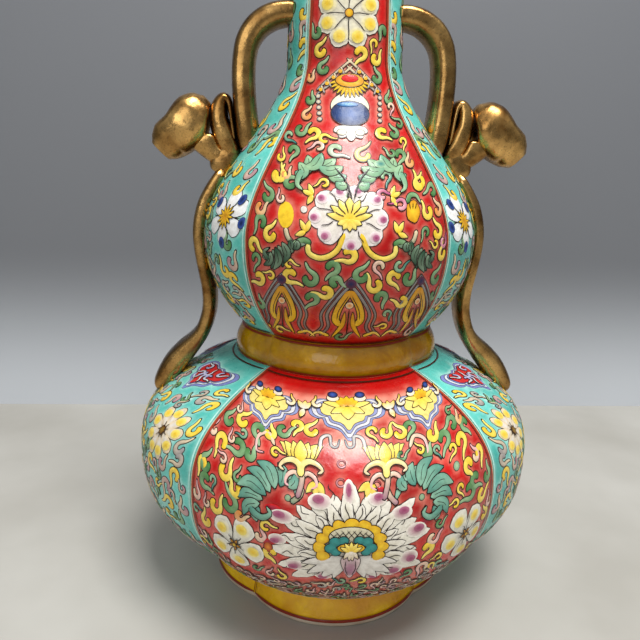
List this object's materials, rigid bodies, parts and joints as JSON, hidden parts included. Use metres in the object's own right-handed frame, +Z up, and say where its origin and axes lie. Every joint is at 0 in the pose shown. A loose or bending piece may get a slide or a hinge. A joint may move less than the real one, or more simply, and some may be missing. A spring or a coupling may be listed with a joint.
{
  "type": "double gourd vase",
  "caption": "Four-lobed double gourd vase with a banded waist, a spreading foot, a flared mouth and two gilt ribbon handles tied in bows.",
  "frame": {"origin": "middle of the foot on the table", "axes": "+Z up the vase's axis; the two handles lie on the X axis; a red panel faces -Y"},
  "size_m": [0.21, 0.21, 0.35],
  "materials": {
    "enamelled_porcelain": "glossy red and turquoise enamels",
    "yellow_glaze": "glossy yellow glaze",
    "gilt_porcelain": "worn satin gilding"
  },
  "bodies": {
    "root": {"foot_ring": "yellow_glaze", "lower_bulb_bowl": "enamelled_porcelain", "lower_bulb_shoulder": "enamelled_porcelain", "waist_band": "yellow_glaze", "upper_bulb_bowl": "enamelled_porcelain", "upper_bulb_shoulder": "enamelled_porcelain", "neck": "enamelled_porcelain", "mouth_rim": "yellow_glaze", "left_handle_arch": "gilt_porcelain", "left_upright_loop": "gilt_porcelain", "left_bow_bud": "gilt_porcelain", "left_bow_stem": "gilt_porcelain", "left_ribbon_tail": "gilt_porcelain", "left_knot_wrap": "gilt_porcelain", "right_handle_arch": "gilt_porcelain", "right_upright_loop": "gilt_porcelain", "right_bow_bud": "gilt_porcelain", "right_bow_stem": "gilt_porcelain", "right_ribbon_tail": "gilt_porcelain", "right_knot_wrap": "gilt_porcelain"}
  },
  "joints": []
}
